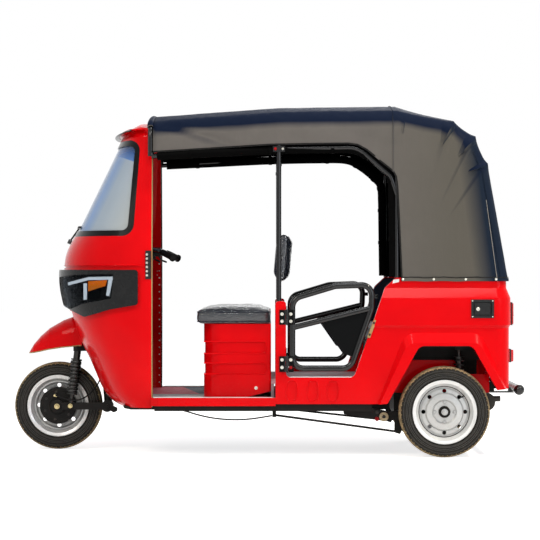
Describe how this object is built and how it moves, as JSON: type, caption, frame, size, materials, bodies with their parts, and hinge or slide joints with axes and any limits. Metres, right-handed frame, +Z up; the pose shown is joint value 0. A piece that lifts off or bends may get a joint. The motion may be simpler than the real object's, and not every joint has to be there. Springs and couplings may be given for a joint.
{
  "type": "auto rickshaw",
  "caption": "Full-size three-wheeled auto rickshaw with a steered leading-link front wheel, driver's bench, rear passenger bench, tube gates, folding canopy and tailgate.",
  "frame": {"origin": "on the ground, at the bottom centre of the vehicle's box", "axes": "-X to the front, +X to the rear, -Y to the left side, +Z up"},
  "size_m": [2.7499, 1.3, 1.8798],
  "materials": {
    "red_paint": "gloss enamel",
    "black_paint": "gloss enamel",
    "floor_mat": "ribbed",
    "black_plastic": "satin",
    "clear_glass": "clear",
    "lamp_lens": "clear",
    "red_lens": "gloss",
    "rubber": "matt",
    "seat_vinyl": "gloss",
    "canopy_vinyl": "coated",
    "cast_metal": "painted",
    "exhaust_steel": "satin",
    "tyre_rubber": "matt",
    "wheel_silver": "silver enamel"
  },
  "bodies": {
    "body": {"chassis_frame": "black_paint", "floor_pan": "floor_mat", "side_sills": "red_paint", "lower_cowl": "red_paint", "windscreen_frame": "red_paint", "windscreen_glass": "clear_glass", "windscreen_gasket": "rubber", "visor": "red_paint", "headlamp_band": "black_plastic", "headlamp_lenses": "lamp_lens", "wheel_box": "black_paint", "dashboard": "black_plastic", "mirror_brackets": "black_paint", "wiper": "black_paint", "seat_box": "red_paint", "driver_cushion": "seat_vinyl", "driver_backrest": "seat_vinyl", "quarter_left": "red_paint", "quarter_right": "red_paint", "fuel_frame": "black_paint", "rear_panel": "red_paint", "tail_lamps": "red_lens", "rear_bumper": "black_paint", "wheel_housings": "red_paint", "seat_deck": "black_paint", "rear_cushion": "seat_vinyl", "rear_backrest": "seat_vinyl", "canopy": "canopy_vinyl", "canopy_window": "clear_glass", "roof_frame": "black_paint", "gate_hinges": "black_paint", "trailing_arms": "black_paint", "rear_shocks": "black_paint", "engine_block": "cast_metal", "exhaust": "exhaust_steel", "control_cable": "rubber"},
    "steering": {"steering_trunk": "black_paint", "handlebar": "black_paint", "grips": "rubber", "front_link": "black_paint", "brake_hose": "rubber", "front_shock": "black_paint", "front_fender": "red_paint"},
    "front_wheel": {"front_tyre": "tyre_rubber", "front_rim": "wheel_silver", "front_hub": "cast_metal"},
    "rear_left_wheel": {"rear_left_tyre": "tyre_rubber", "rear_left_rim": "wheel_silver", "rear_left_hub": "cast_metal"},
    "rear_right_wheel": {"rear_right_tyre": "tyre_rubber", "rear_right_rim": "wheel_silver", "rear_right_hub": "cast_metal"},
    "left_gate": {"gate_left": "black_paint"},
    "right_gate": {"gate_right": "black_paint"},
    "tailgate": {"tailgate": "red_paint"},
    "fuel_flap": {"fuel_flap": "black_paint"}
  },
  "joints": [
    {"name": "steering_turn", "type": "hinge", "parent": "body", "child": "steering", "pos_m": [-1.19, 0, 0], "axis": [0.4738, 0, 0.8806], "range_deg": [-35, 35]},
    {"name": "front_wheel_spin", "type": "hinge", "parent": "steering", "child": "front_wheel", "pos_m": [-1.135, 0, 0.24], "axis": [0, 1, 0], "continuous": true},
    {"name": "rear_left_wheel_spin", "type": "hinge", "parent": "body", "child": "rear_left_wheel", "pos_m": [0.945, -0.575, 0.24], "axis": [0, 1, 0], "continuous": true},
    {"name": "rear_right_wheel_spin", "type": "hinge", "parent": "body", "child": "rear_right_wheel", "pos_m": [0.945, 0.575, 0.24], "axis": [0, 1, 0], "continuous": true},
    {"name": "left_gate_swing", "type": "hinge", "parent": "body", "child": "left_gate", "pos_m": [0.119, -0.63, 0.6], "axis": [0, 0, -1], "range_deg": [0, 95]},
    {"name": "right_gate_swing", "type": "hinge", "parent": "body", "child": "right_gate", "pos_m": [0.119, 0.63, 0.6], "axis": [0, 0, 1], "range_deg": [0, 95]},
    {"name": "tailgate_lift", "type": "hinge", "parent": "body", "child": "tailgate", "pos_m": [1.305, 0, 0.843], "axis": [0, -1, 0], "range_deg": [0, 75]},
    {"name": "fuel_flap_swing", "type": "hinge", "parent": "body", "child": "fuel_flap", "pos_m": [1.184, -0.619, 0.78], "axis": [0, 0, 1], "range_deg": [0, 100]}
  ]
}
